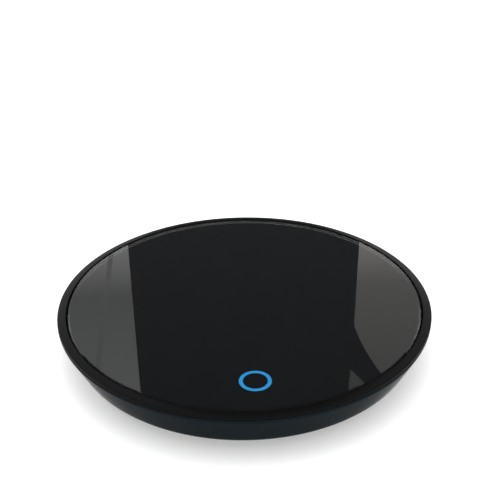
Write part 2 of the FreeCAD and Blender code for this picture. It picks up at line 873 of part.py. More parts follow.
def make_control_board():
    body = new_body("control_board")
    sketch = new_sketch(body, "control_board_sketch", level=board_bottom)
    add_circle(sketch, "board_radius")
    pad(body, "control_board_plate", sketch, "board_thickness")
    hole = "(board_screw_radius + thread_clearance)"
    drill(body, "board_holes", board_top, "board_thickness", hole, standoff_centres)

    screws = []
    for index, (x, y) in enumerate(standoff_centres):
        head = cylinder(f"board_screw_{index}_head", "board_head_radius", "board_head_height",
                        x, y, board_top)
        shank_bottom = f"({board_top} - board_screw_length)"
        shank = cylinder(f"board_screw_{index}_shank", "board_screw_radius", "board_screw_length",
                         x, y, shank_bottom)
        screws.append(fuse(f"board_screw_{index}", head, shank))
    group("board_screws", screws)


def make_board_parts():
    chip = block("controller_chip", "chip_width", "chip_width", "chip_height", "0", "chip_back", board_top)
    keep(chip, "controller_chip")
    transistor = block("power_transistor", "transistor_width", "transistor_width", "transistor_height",
                       "transistor_across", "transistor_back", board_top)
    keep(transistor, "power_transistor")
    regulator = block("voltage_regulator", "regulator_width", "regulator_depth", "regulator_height",
                      "(-regulator_across)", "regulator_back", board_top)
    keep(regulator, "voltage_regulator")
    inductor = block("power_inductor", "inductor_width", "inductor_width", "inductor_height",
                     "(-inductor_across)", "inductor_back", board_top)
    keep(inductor, "power_inductor")

    capacitors = []
    for index in range(CAPACITOR_COUNT):
        x = f"(capacitor_across + {index} * capacitor_pitch)"
        capacitors.append(block(f"capacitor_{index}", "capacitor_width", "capacitor_length",
                                "capacitor_height", x, "(-capacitor_front)", board_top))
    group("filter_capacitors", capacitors)

    resistors = []
    for column in range(RESISTOR_COLUMNS):
        for row in range(RESISTOR_ROWS):
            x = f"({column} * 2 * resistor_pitch - resistor_across)"
            y = f"({row} * resistor_pitch - resistor_front)"
            resistors.append(block(f"resistor_{column}_{row}", "resistor_length", "resistor_width",
                                   "resistor_height", x, y, board_top))
    group("chip_resistors", resistors)


def make_connectors():
    for label, x in (("heater_connector", "connector_reach"), ("sensor_connector", "(-connector_reach)")):
        keep(block(label, "connector_depth", "connector_width", "connector_height", x, "0", board_top), label)
    inlet = block("inlet_connector", "connector_width", "connector_depth", "connector_height",
                  "0", "inlet_connector_reach", board_top)
    keep(inlet, "inlet_connector")
    key = block("key_connector", "connector_width", "connector_depth", "connector_height",
                "0", "(-key_connector_reach)", board_top)
    keep(key, "key_connector")


def make_switch():
    housing = block("switch_block", "switch_width", "switch_width", "switch_height",
                    "0", "(-switch_offset)", board_top)
    well_depth = "(plunger_seat + plate_travel + rest_gap)"
    well = cylinder("switch_well", "plunger_radius + plunger_clearance", well_depth,
                    y="(-switch_offset)", z=f"{board_top} + switch_height - {well_depth}")
    keep(cut("switch_housing", housing, well), "switch_housing")
    plunger_bottom = f"({board_top} + switch_height - plunger_seat)"
    plunger_top = f"({clamp_bottom} - rest_gap)"
    plunger = cylinder("switch_plunger", "plunger_radius", f"{plunger_top} - {plunger_bottom}",
                       y="(-switch_offset)", z=plunger_bottom)
    keep(plunger, "switch_plunger")


# Power inlet

def make_dc_jack():
    shell = block("jack_shell", "jack_width", "jack_depth", "jack_height",
                  y=f"({jack_front} - jack_depth / 2)", z=jack_bottom)
    nose = along_y("jack_nose", "jack_nose_radius", "jack_nose_length", "0", jack_front, jack_axis)
    socket = along_y("jack_socket", "jack_socket_radius", "jack_socket_depth",
                     "0", jack_socket_end, jack_axis)
    keep(cut("dc_jack", fuse("jack_solid", shell, nose), socket), "dc_jack")

    pin_length = "(jack_socket_depth - jack_pin_recess)"
    pin = along_y("dc_jack_pin", "jack_pin_radius", pin_length, "0", jack_socket_end, jack_axis)
    keep(pin, "dc_jack_pin")


# Wires inside

def make_wires():
    lead_y = ["(-wire_spacing / 2)", "(wire_spacing / 2)"]
    connector_face = "(connector_reach + connector_depth / 2)"
    heater_routes = []
    sensor_routes = []
    sensor_level = f"({heater_bottom} - sensor_height / 2)"
    for y in lead_y:
        heater_routes.append([
            ("lead_reach", y, heater_bottom),
            ("lead_reach", y, wire_height),
            (connector_face, y, wire_height),
        ])
        sensor_y = f"({y} / 2)"
        sensor_routes.append([
            ("(-sensor_length / 2)", sensor_y, sensor_level),
            ("(-lead_reach)", sensor_y, sensor_level),
            ("(-lead_reach)", sensor_y, wire_height),
            (f"(-{connector_face})", sensor_y, wire_height),
        ])
    wires("heater_leads", heater_routes)
    wires("sensor_leads", sensor_routes)

    key_start = f"({ring_y} + key_board_depth / 2 - 2 * wire_radius)"
    key_face = "(-key_connector_reach - connector_depth / 2)"
    key_routes = []
    for place in (-1, 0, 1):
        x = f"({place} * key_wire_spacing)"
        key_routes.append([
            (x, key_start, key_board_bottom),
            (x, key_start, wire_height),
            (x, key_face, wire_height),
        ])
    wires("key_cable", key_routes)

    inlet_face = "(inlet_connector_reach + connector_depth / 2)"
    inlet_routes = []
    for side in (-1, 1):
        jack_x = f"({side} * jack_width / 4)"
        board_x = f"({side} * wire_spacing / 2)"
        inlet_routes.append([
            (jack_x, jack_back, wire_height),
            (jack_x, f"({jack_back} - inlet_wire_straight)", wire_height),
            (board_x, f"({inlet_face} + inlet_wire_straight)", wire_height),
            (board_x, inlet_face, wire_height),
        ])
    wires("inlet_leads", inlet_routes)


make_bowl_housing()
make_top_bezel()
make_base_cover()
make_feet()
make_base_screws()
make_glass_plate()
make_black_print()
make_heater_stack()
make_sensors()
make_plate_carrier()
make_plate_screws()
make_springs()
make_touch_key()
make_control_board()
make_board_parts()
make_connectors()
make_switch()
make_dc_jack()
make_wires()
doc.recompute()

for thing in doc.Objects:
    if "Invalid" in thing.State or "Error" in thing.State:
        raise RuntimeError(f"{thing.Label} did not build: {thing.State}")
for piece in pieces:
    if piece.Shape.isNull() or not piece.Shape.isValid():
        raise RuntimeError(f"{piece.Label} has no valid shape")

os.makedirs("parts", exist_ok=True)
for piece in pieces:
    piece.Shape.exportStep(os.path.join("parts", piece.Label + ".step"))
    print(piece.Label, len(piece.Shape.Solids), round(piece.Shape.Volume, 2))
print(len(pieces), "nodes")
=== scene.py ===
import json
import math

import bmesh
import bpy
from mathutils import Matrix, Vector


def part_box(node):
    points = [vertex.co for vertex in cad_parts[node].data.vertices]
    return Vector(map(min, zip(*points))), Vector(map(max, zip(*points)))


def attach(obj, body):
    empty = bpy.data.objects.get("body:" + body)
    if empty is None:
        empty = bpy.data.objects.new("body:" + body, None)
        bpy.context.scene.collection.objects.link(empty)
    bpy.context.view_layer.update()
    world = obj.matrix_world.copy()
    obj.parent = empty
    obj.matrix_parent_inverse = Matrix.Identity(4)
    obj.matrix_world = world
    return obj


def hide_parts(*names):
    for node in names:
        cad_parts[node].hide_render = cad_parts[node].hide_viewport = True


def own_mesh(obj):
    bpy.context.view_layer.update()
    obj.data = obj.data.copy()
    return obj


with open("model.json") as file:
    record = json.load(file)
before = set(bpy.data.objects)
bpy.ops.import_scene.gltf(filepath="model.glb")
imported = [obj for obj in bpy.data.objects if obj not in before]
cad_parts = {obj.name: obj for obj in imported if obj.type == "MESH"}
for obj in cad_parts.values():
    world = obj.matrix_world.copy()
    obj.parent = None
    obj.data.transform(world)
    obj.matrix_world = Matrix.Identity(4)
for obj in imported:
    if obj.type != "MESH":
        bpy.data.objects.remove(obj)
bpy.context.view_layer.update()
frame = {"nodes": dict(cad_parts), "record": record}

# Sizes read from the frame. All lengths in this file are in metres.
GLASS_LOW, GLASS_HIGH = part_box("glass_plate")
BEZEL_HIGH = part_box("top_bezel")[1]
PRINT_LOW, PRINT_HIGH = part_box("black_print")
GUIDE_LOW, GUIDE_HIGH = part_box("light_guide")
COVER_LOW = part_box("base_cover")[0]
JACK_LOW, JACK_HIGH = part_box("dc_jack")

OUTER_RADIUS = BEZEL_HIGH.x
TOP = GLASS_HIGH.z
GLASS_RADIUS = GLASS_HIGH.x
RING_CENTRE = (GUIDE_LOW + GUIDE_HIGH) / 2

# Gap between pieces that fit into each other
PLAY = 0.00005

# Rim round the glass, with a leg that stands in a rebate of the casing
BEZEL_WIDTH = 0.0030
BEZEL_FALL = 0.0004
BEZEL_EDGE = 0.0005
BEZEL_LEG = 0.00095
BEZEL_LEG_LENGTH = 0.0017
BEZEL_INNER_ROUNDING = 0.0002
BEZEL_OUTER_ROUNDING = 0.00022
BEZEL_LOWER_ROUNDING = 0.00012
BEZEL_LEG_ROUNDING = 0.0001
BEZEL_OPENING = OUTER_RADIUS - BEZEL_WIDTH
RIM_LEVEL = TOP - BEZEL_FALL
BEZEL_SEAT = RIM_LEVEL - BEZEL_EDGE
LEG_RADIUS = BEZEL_OPENING + BEZEL_LEG
LEG_BOTTOM = BEZEL_SEAT - BEZEL_LEG_LENGTH

# Casing, from the seam under the rim down to the base
SEAM_GAP = 0.0003
SEAM_DEPTH = 0.0007
SIDE_BAND = 0.0008
BAND_TOP = BEZEL_SEAT - SEAM_GAP
BAND_BOTTOM = BAND_TOP - SIDE_BAND
BAND_TOP_ROUNDING = 0.00015
BAND_BOTTOM_ROUNDING = 0.0025
KNEE_RADIUS = 0.0596
KNEE_LEVEL = 0.0047
KNEE_ROUNDING = 0.005
BASE_EDGE_RADIUS = 0.0555
BASE_EDGE_ROUNDING = 0.0004
COVER_THICKNESS = 0.0018
COVER_SEAT_ROUNDING = 0.0002
FLANGE_RADIUS = 0.0502
FLANGE_THICKNESS = 0.0015
WALL = 0.002
GLASS_WELL = 0.0622
GLASS_STOP = 0.0139
CASING_ARC_STEPS = 10

# Hole for the nose of the power inlet
INLET_CLEARANCE = 0.0001
INLET_CUT_START = 0.0034
INLET_CUT_LENGTH = 0.012
INLET_STEPS = 96

# Glass, and the ring window in the print under it
GLASS_BEVEL = 0.00035
RING_RADIUS = 0.0051
RING_WIDTH = 0.00125
RING_INNER = RING_RADIUS - RING_WIDTH
RING_STEPS = 128
WINDOW_OVERCUT = 0.001
# The print and the light guide are bonded this far into the glass, so that no two faces coincide
BOND = 0.00002

# Sole of a foot: shares of its radius at the hollow, the grip ring, the groove and the outer rim
SOLE_SHARES = (0.35, 0.42, 0.62, 0.69, 0.76)
GRIP_DEPTH = 0.0003
GRIP_ROUNDING = 0.0001
FOOT_ROUNDING = 0.0006
FOOT_ARC_STEPS = 4
FOOT_STEPS = 96

# Screws
BASE_HEAD_RADIUS = 0.0027
BASE_HEAD_HEIGHT = 0.001
BASE_SHANK_RADIUS = 0.0014
BASE_SCREW_ANGLES = (30, 150, 210, 330)
RETAINER_HEAD_RADIUS = 0.0036
RETAINER_HEAD_HEIGHT = 0.0015
RETAINER_SHANK_RADIUS = 0.001
HEAD_EDGE_ROUNDING = 0.0001
SCREW_STEPS = 64
# Shares of the head's height, the shank's radius and the head's radius
HEAD_ROUNDING = 0.45
TIP_WIDTH = 0.35
RECESS_DEPTH = 1.1
RECESS_LENGTH = 1.1
RECESS_WIDTH = 0.24

# Guide posts with their springs, and wires
GUIDE_ANGLES = {"right": 0, "rear_left": 120, "front_left": 240}
SPRING_WIRE = 0.00035
SPRING_TURNS = 4
TURN_STEPS = 36
WIRE_RADIUS = 0.0005
WIRE_BEND = 0.0015

# Meshes
LATHE_STEPS = 360
SMOOTH_ANGLE = math.radians(28)
LEVEL_FACE = 0.99999
SAME_POINT = 1e-7


# Shapes

def rounded(corners, steps=6):
    """Closed profile points from (radius, level, rounding) corners, each rounding a true arc."""
    points = []
    count = len(corners)
    for index, (x, y, rounding) in enumerate(corners):
        here = Vector((x, y))
        if rounding <= 0:
            points.append(here)
            continue
        before = Vector(corners[index - 1][:2])
        after = Vector(corners[(index + 1) % count][:2])
        into = (here - before).normalized()
        out = (after - here).normalized()
        turn = into.angle(out)
        trim = rounding * math.tan(turn / 2)
        side = 1 if into.x * out.y - into.y * out.x > 0 else -1
        start = here - into * trim
        centre = start + Vector((-into.y, into.x)) * rounding * side
        arm = start - centre
        for step in range(steps + 1):
            angle = side * turn * step / steps
            points.append(centre + Matrix.Rotation(angle, 2) @ arm)
    return points


def ring_profile(inner, outer, low, high):
    """Profile of a plain ring, or of a disc where inner is zero."""
    return [(inner, high), (outer, high), (outer, low), (inner, low)]


def link(name, data):
    item = bpy.data.objects.new(name, data)
    bpy.context.scene.collection.objects.link(item)
    return item


def finish_mesh(name, shape):
    """Smooth shading with crisp edges, and flat shading on level faces so that broad discs stay even."""
    bmesh.ops.recalc_face_normals(shape, faces=shape.faces)
    for face in shape.faces:
        face.smooth = abs(face.normal.z) < LEVEL_FACE
    for edge in shape.edges:
        edge.smooth = len(edge.link_faces) == 2 and edge.calc_face_angle(0) < SMOOTH_ANGLE
    mesh = bpy.data.meshes.new(name)
    shape.to_mesh(mesh)
    shape.free()
    return link(name, mesh)


def lathe(name, profile, centre=(0, 0), steps=LATHE_STEPS):
    """A solid of revolution round the vertical axis through centre, from a closed profile."""
    shape = bmesh.new()
    rings = []
    for radius, level in profile:
        if radius < SAME_POINT:
            rings.append([shape.verts.new((centre[0], centre[1], level))])
            continue
        ring = []
        for step in range(steps):
            angle = 2 * math.pi * step / steps
            x = centre[0] + radius * math.cos(angle)
            y = centre[1] + radius * math.sin(angle)
            ring.append(shape.verts.new((x, y, level)))
        rings.append(ring)
    for index, ring in enumerate(rings):
        join_rings(shape, ring, rings[(index + 1) % len(rings)], steps)
    return finish_mesh(name, shape)


def join_rings(shape, ring, other, steps):
    """Faces between two neighbouring rings of a lathe, either of which may be one point on the axis."""
    if len(ring) == 1 and len(other) == 1:
        return
    for step in range(steps):
        following = (step + 1) % steps
        if len(ring) == 1:
            shape.faces.new((ring[0], other[step], other[following]))
        elif len(other) == 1:
            shape.faces.new((ring[step], ring[following], other[0]))
        else:
            shape.faces.new((ring[step], ring[following], other[following], other[step]))


def cut_by(piece, tool):
    """Cuts the tool's shape out of the piece and removes the tool."""
    cutter = piece.modifiers.new("cut", "BOOLEAN")
    cutter.object = tool
    cutter.operation = "DIFFERENCE"
    cutter.solver = "EXACT"
    bpy.context.view_layer.update()
    evaluated = piece.evaluated_get(bpy.context.evaluated_depsgraph_get())
    mesh = bpy.data.meshes.new_from_object(evaluated)
    piece.modifiers.clear()
    piece.data = mesh
    bpy.data.objects.remove(tool)


def repeat(name, source, centres):
    """One mesh that holds a copy of the source at each centre; the source is removed."""
    shape = bmesh.new()
    for x, y in centres:
        start = len(shape.verts)
        shape.from_mesh(source.data)
        shape.verts.ensure_lookup_table()
        bmesh.ops.translate(shape, verts=shape.verts[start:], vec=(x, y, 0))
    bpy.data.objects.remove(source)
    return finish_mesh(name, shape)


def around(circle, angles):
    """Points on a circle round the middle, at angles in degrees."""
    return [(circle * math.cos(math.radians(angle)), circle * math.sin(math.radians(angle)))
            for angle in angles]


def slab(name, size, centre):
    shape = bmesh.new()
    bmesh.ops.create_cube(shape, size=1.0)
    bmesh.ops.scale(shape, vec=size, verts=shape.verts)
    bmesh.ops.translate(shape, vec=centre, verts=shape.verts)
    return finish_mesh(name, shape)


def tube(name, lines, radius, sides=4):
    """Round wire along each line of points, as one mesh with closed ends."""
    curve = bpy.data.curves.new(name, "CURVE")
    curve.dimensions = "3D"
    curve.bevel_depth = radius
    curve.bevel_resolution = sides
    curve.use_fill_caps = True
    for line in lines:
        spline = curve.splines.new("POLY")
        spline.points.add(len(line) - 1)
        for point, where in zip(spline.points, line):
            point.co = (*where, 1)
    path = link(name + "_path", curve)
    bpy.context.view_layer.update()
    mesh = bpy.data.meshes.new_from_object(path.evaluated_get(bpy.context.evaluated_depsgraph_get()))
    bpy.data.objects.remove(path)
    shape = bmesh.new()
    shape.from_mesh(mesh)
    bmesh.ops.remove_doubles(shape, verts=shape.verts, dist=SAME_POINT)
    return finish_mesh(name, shape)


def bent(points, bend, steps=8):
    """The line through the points, with each corner eased over the bend."""
    line = [Vector(points[0])]
    for before, corner, after in zip(points, points[1:], points[2:]):
        corner = Vector(corner)
        into = (corner - Vector(before)).normalized()
        out = (Vector(after) - corner).normalized()
        trim = bend * math.tan(into.angle(out) / 2)
        start = corner - into * trim
        end = corner + out * trim
        for step in range(steps + 1):
            share = step / steps
            line.append(start.lerp(corner, share).lerp(corner.lerp(end, share), share))
    line.append(Vector(points[-1]))
    return line


def place(piece, body, slot, *nodes):
    """Puts the piece on its body in place of the CAD nodes, with the material of its slot."""
    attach(piece, body)
    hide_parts(*nodes)
    piece.data.materials.clear()
    piece.data.materials.append(materials[slot])


def shorten(piece):
    """Gives the piece its own copy of its mesh."""
    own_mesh(piece)


# Materials

# Noise is mapped from this range, because it seldom leaves it
NOISE_LOW = 0.3
NOISE_HIGH = 0.7
# Cloudy change of colour over a piece, and detail of the fine grain
CLOUD_SCALE = 60.0
CLOUD_DETAIL = 3.0
GRAIN_DETAIL = 5.0
# Haze on the glass
HAZE_SCALE = 35.0
HAZE_DETAIL = 3.0
HAZE_TINTS = ((0.93, 0.95, 0.95), (0.97, 0.98, 0.98))
HAZE_ROUGHNESS = (0.004, 0.014)
HAZE_DEPTH = 4e-7
GLASS_IOR = 1.5
# Light of the ring
GLOW_SCALE = 400.0
GLOW_DETAIL = 2.0
GLOW_COLOURS = ((0.014, 0.19, 0.45), (0.020, 0.235, 0.52))
GLOW_ROUGHNESS = (0.35, 0.5)
RING_GLOW = 0.86
# Sockets of the mixing node that carry colours
MIX_DARK = 6
MIX_LIGHT = 7
MIX_RESULT = 2

FINISHES = {
    "housing": dict(colour=(0.0088, 0.0132, 0.0162), roughness=(0.17, 0.22), depth=1.2e-6, specular=0.005),
    "bezel": dict(colour=(0.0022, 0.0024, 0.0027), roughness=(0.25, 0.28), depth=4e-7, specular=0.075),
    "cover": dict(colour=(0.016, 0.0165, 0.017), roughness=(0.48, 0.6), grain=1500.0, depth=3e-5),
    "rubber": dict(colour=(0.02, 0.02, 0.021), roughness=(0.7, 0.85), grain=2200.0, depth=4e-5),
    "print": dict(colour=(0.0046, 0.0067, 0.0082), roughness=(0.5, 0.6), depth=1e-6, specular=0.0),
    "carrier": dict(colour=(0.03, 0.03, 0.032), roughness=(0.5, 0.6)),
    "spreader": dict(colour=(0.72, 0.73, 0.74), spread=0.05, roughness=(0.28, 0.4), grain=700.0,
                     depth=8e-6, metallic=1.0, stretch=(1, 12, 1)),
    "heater": dict(colour=(0.55, 0.22, 0.03), roughness=(0.25, 0.35)),
    "insulation": dict(colour=(0.80, 0.78, 0.72), roughness=(0.85, 0.95), grain=3000.0, depth=1e-4),
    "zinc_steel": dict(colour=(0.60, 0.61, 0.63), spread=0.06, roughness=(0.3, 0.42), grain=1800.0,
                       depth=6e-6, metallic=1.0),
    "spring_steel": dict(colour=(0.50, 0.51, 0.53), spread=0.06, roughness=(0.22, 0.32), grain=2500.0,
                         depth=4e-6, metallic=1.0),
    "led": dict(colour=(0.25, 0.5, 0.95), roughness=(0.15, 0.25)),
    "circuit_board": dict(colour=(0.015, 0.13, 0.05), spread=0.2, roughness=(0.3, 0.4), grain=2600.0,
                          depth=6e-6),
    "component_black": dict(colour=(0.018, 0.018, 0.019), roughness=(0.4, 0.52), grain=2500.0),
    "capacitor": dict(colour=(0.45, 0.30, 0.06)),
    "connector": dict(colour=(0.78, 0.74, 0.62)),
    "plunger": dict(colour=(0.55, 0.09, 0.05), roughness=(0.35, 0.45)),
    "contact": dict(colour=(0.80, 0.62, 0.28), spread=0.05, roughness=(0.18, 0.28), grain=2500.0,
                    depth=3e-6, metallic=1.0),
    "thermal_fuse": dict(colour=(0.66, 0.66, 0.67), spread=0.06, roughness=(0.3, 0.4), grain=1500.0,
                         depth=6e-6, metallic=1.0),
    "sensor": dict(colour=(0.05, 0.05, 0.055), roughness=(0.15, 0.25)),
    "wire_red": dict(colour=(0.5, 0.03, 0.02)),
    "wire_white": dict(colour=(0.8, 0.8, 0.76)),
    "wire_black": dict(colour=(0.02, 0.02, 0.02)),
}


def new_material(name):
    material = bpy.data.materials.new(name)
    material.use_nodes = True
    tree = material.node_tree
    return material, tree, tree.nodes["Principled BSDF"]


def noise(tree, scale, detail=4.0, stretch=(1, 1, 1)):
    coordinates = tree.nodes.new("ShaderNodeTexCoord")
    mapping = tree.nodes.new("ShaderNodeMapping")
    mapping.inputs["Scale"].default_value = stretch
    texture = tree.nodes.new("ShaderNodeTexNoise")
    texture.inputs["Scale"].default_value = scale
    texture.inputs["Detail"].default_value = detail
    tree.links.new(coordinates.outputs["Object"], mapping.inputs["Vector"])
    tree.links.new(mapping.outputs["Vector"], texture.inputs["Vector"])
    return texture.outputs["Fac"]


def ramp(tree, factor, low, high, start=NOISE_LOW, end=NOISE_HIGH):
    """Goes from low to high as the factor goes from start to end."""
    node = tree.nodes.new("ShaderNodeMapRange")
    node.inputs["From Min"].default_value = start
    node.inputs["From Max"].default_value = end
    node.inputs["To Min"].default_value = low
    node.inputs["To Max"].default_value = high
    tree.links.new(factor, node.inputs["Value"])
    return node.outputs["Result"]


def mix_colour(tree, factor, dark, light):
    node = tree.nodes.new("ShaderNodeMix")
    node.data_type = "RGBA"
    node.inputs[MIX_DARK].default_value = (*dark, 1)
    node.inputs[MIX_LIGHT].default_value = (*light, 1)
    tree.links.new(factor, node.inputs["Factor"])
    return node.outputs[MIX_RESULT]


def add_bump(tree, shader, height, depth):
    bump = tree.nodes.new("ShaderNodeBump")
    bump.inputs["Distance"].default_value = depth
    tree.links.new(height, bump.inputs["Height"])
    tree.links.new(bump.outputs["Normal"], shader.inputs["Normal"])


def surface(name, colour, spread=0.12, roughness=(0.4, 0.5), grain=900.0, depth=1e-5,
            metallic=0.0, stretch=(1, 1, 1), specular=0.5):
    """A moulded or machined finish: slightly uneven colour and gloss, with fine grain in the bump."""
    material, tree, shader = new_material(name)
    broad = noise(tree, CLOUD_SCALE, CLOUD_DETAIL)
    fine = noise(tree, grain, GRAIN_DETAIL, stretch)
    dark = [channel * (1 - spread) for channel in colour]
    light = [min(1.0, channel * (1 + spread)) for channel in colour]
    tree.links.new(mix_colour(tree, broad, dark, light), shader.inputs["Base Color"])
    tree.links.new(ramp(tree, fine, *roughness), shader.inputs["Roughness"])
    add_bump(tree, shader, fine, depth)
    shader.inputs["Metallic"].default_value = metallic
    shader.inputs["Specular IOR Level"].default_value = specular
    return material


def clear_glass(name):
    """Clear toughened glass with a trace of surface haze."""
    material, tree, shader = new_material(name)
    smudge = noise(tree, HAZE_SCALE, HAZE_DETAIL)
    tree.links.new(mix_colour(tree, smudge, *HAZE_TINTS), shader.inputs["Base Color"])
    tree.links.new(ramp(tree, smudge, *HAZE_ROUGHNESS), shader.inputs["Roughness"])
    add_bump(tree, shader, smudge, HAZE_DEPTH)
    shader.inputs["Transmission Weight"].default_value = 1.0
    shader.inputs["IOR"].default_value = GLASS_IOR
    return material


def lit_ring(name):
    """Frosted light guide lit blue from below, a little uneven between the lamps."""
    material, tree, shader = new_material(name)
    cloud = noise(tree, GLOW_SCALE, GLOW_DETAIL)
    glow = mix_colour(tree, cloud, *GLOW_COLOURS)
    tree.links.new(glow, shader.inputs["Base Color"])
    tree.links.new(glow, shader.inputs["Emission Color"])
    tree.links.new(ramp(tree, cloud, *GLOW_ROUGHNESS), shader.inputs["Roughness"])
    shader.inputs["Emission Strength"].default_value = RING_GLOW
    shader.inputs["Specular IOR Level"].default_value = 0.0
    return material


def make_materials():
    made = {slot: surface(slot, **finish) for slot, finish in FINISHES.items()}
    made["glass"] = clear_glass("glass")
    made["light_guide"] = lit_ring("light_guide")
    return made


def dress_nodes():
    """Gives each CAD node the material of its slot."""
    for part in frame["record"]["subparts"]:
        node = frame["nodes"][part["node"]]
        node.data.materials.clear()
        node.data.materials.append(materials[part["material_slot"]])


# Visible pieces

def make_bezel():
    profile = rounded([
        (BEZEL_OPENING, TOP, BEZEL_INNER_ROUNDING),
        (OUTER_RADIUS, RIM_LEVEL, BEZEL_OUTER_ROUNDING),
        (OUTER_RADIUS, BEZEL_SEAT, BEZEL_LOWER_ROUNDING),
        (LEG_RADIUS, BEZEL_SEAT, 0),
        (LEG_RADIUS, LEG_BOTTOM, BEZEL_LEG_ROUNDING),
        (BEZEL_OPENING, LEG_BOTTOM, BEZEL_LEG_ROUNDING),
    ])
    place(lathe("rim_bezel", profile), "base", "bezel", "top_bezel")


def wall_radius(level):
    """Radius of the casing's inner face at a level of its tapered side."""
    slope = (OUTER_RADIUS - KNEE_RADIUS) / (BAND_BOTTOM - KNEE_LEVEL)
    return KNEE_RADIUS + (level - KNEE_LEVEL) * slope - WALL * math.sqrt(1 + slope ** 2)


def inlet_cutter():
    """The round hole for the inlet's nose, lying along the depth of the casing."""
    radius = (JACK_HIGH.z - JACK_LOW.z) / 2 + INLET_CLEARANCE
    axis_level = (JACK_HIGH.z + JACK_LOW.z) / 2
    profile = [(0, 0), (radius, 0), (radius, INLET_CUT_LENGTH), (0, INLET_CUT_LENGTH)]
    cutter = lathe("inlet_cutter", profile, steps=INLET_STEPS)
    turn = Matrix.Rotation(-math.pi / 2, 4, "X")
    cutter.data.transform(Matrix.Translation((0, JACK_HIGH.y - INLET_CUT_START, axis_level)) @ turn)
    return cutter


def make_housing():
    rebate = LEG_RADIUS + PLAY
    rebate_bottom = LEG_BOTTOM - PLAY
    base = COVER_LOW.z
    cover_top = base + COVER_THICKNESS
    flange_top = cover_top + FLANGE_THICKNESS
    cover_seat = BASE_EDGE_RADIUS - WALL / 2
    profile = rounded([
        (BASE_EDGE_RADIUS, base, BASE_EDGE_ROUNDING),
        (KNEE_RADIUS, KNEE_LEVEL, KNEE_ROUNDING),
        (OUTER_RADIUS, BAND_BOTTOM, BAND_BOTTOM_ROUNDING),
        (OUTER_RADIUS, BAND_TOP, BAND_TOP_ROUNDING),
        (OUTER_RADIUS - SEAM_DEPTH, BAND_TOP, 0),
        (OUTER_RADIUS - SEAM_DEPTH, BEZEL_SEAT, 0),
        (rebate, BEZEL_SEAT, 0),
        (rebate, rebate_bottom, 0),
        (GLASS_WELL, rebate_bottom, 0),
        (GLASS_WELL, GLASS_STOP, 0),
        (wall_radius(GLASS_STOP), GLASS_STOP, 0),
        (wall_radius(flange_top), flange_top, 0),
        (FLANGE_RADIUS, flange_top, 0),
        (FLANGE_RADIUS, cover_top, 0),
        (cover_seat, cover_top, 0),
        (cover_seat, base, COVER_SEAT_ROUNDING),
    ], steps=CASING_ARC_STEPS)
    housing = lathe("casing_bowl", profile)
    cut_by(housing, inlet_cutter())
    place(housing, "base", "housing", "bowl_housing")


def make_glass():
    low, high = GLASS_LOW.z, GLASS_HIGH.z
    profile = [
        (0, high),
        (GLASS_RADIUS - GLASS_BEVEL, high),
        (GLASS_RADIUS, high - GLASS_BEVEL),
        (GLASS_RADIUS, low + GLASS_BEVEL),
        (GLASS_RADIUS - GLASS_BEVEL, low),
        (0, low),
    ]
    place(lathe("glass_top", profile), "warming_plate", "glass", "glass_plate")


def make_print():
    """The black print under the glass, with a ring-shaped window left clear."""
    low, high = PRINT_LOW.z, PRINT_HIGH.z + BOND
    disc = lathe("print_layer", ring_profile(0, PRINT_HIGH.x, low, high))
    opening = ring_profile(RING_INNER, RING_RADIUS, low - WINDOW_OVERCUT, high + WINDOW_OVERCUT)
    cut_by(disc, lathe("window_cutter", opening, RING_CENTRE.xy, RING_STEPS))
    place(disc, "warming_plate", "print", "black_print")


def make_light_guide():
    profile = ring_profile(RING_INNER + PLAY, RING_RADIUS - PLAY, GUIDE_LOW.z, GUIDE_HIGH.z + BOND)
    guide = lathe("ring_light_guide", profile, RING_CENTRE.xy, RING_STEPS)
    place(guide, "warming_plate", "light_guide", "light_guide")


def make_feet():
    """Round rubber feet, each with a grip ring between a hollow and a groove in its sole."""
    for side in ("rear_right", "rear_left", "front_left", "front_right"):
        low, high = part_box(f"foot_{side}")
        centre = (low + high) / 2
        radius = (high.x - low.x) / 2
        hollow, ring_start, ring_end, groove, rim = (radius * share for share in SOLE_SHARES)
        profile = rounded([
            (0, GRIP_DEPTH, 0),
            (hollow, GRIP_DEPTH, 0),
            (ring_start, 0, GRIP_ROUNDING),
            (ring_end, 0, GRIP_ROUNDING),
            (groove, GRIP_DEPTH, GRIP_ROUNDING),
            (rim, 0, GRIP_ROUNDING),
            (radius, 0, FOOT_ROUNDING),
            (radius, high.z, 0),
            (0, high.z, 0),
        ], steps=FOOT_ARC_STEPS)
        foot = lathe(f"rubber_foot_{side}", profile, centre.xy, FOOT_STEPS)
        place(foot, "base", "rubber", f"foot_{side}")


def cross_screw(name, low, head_height, head_radius, shank_radius, tip):
    """A pan-head screw from below, with a cross recess in its head and a tapered tip."""
    seat = low + head_height
    screw = lathe(name, rounded([
        (0, low, 0),
        (head_radius, low, head_height * HEAD_ROUNDING),
        (head_radius, seat, HEAD_EDGE_ROUNDING),
        (shank_radius, seat, 0),
        (shank_radius, tip - shank_radius, 0),
        (shank_radius * TIP_WIDTH, tip, 0),
        (0, tip, 0),
    ]), steps=SCREW_STEPS)
    depth = head_height * RECESS_DEPTH
    long, narrow = head_radius * RECESS_LENGTH, head_radius * RECESS_WIDTH
    for size in ((long, narrow, depth), (narrow, long, depth)):
        cut_by(screw, slab("recess_cutter", size, (0, 0, low)))
    return screw


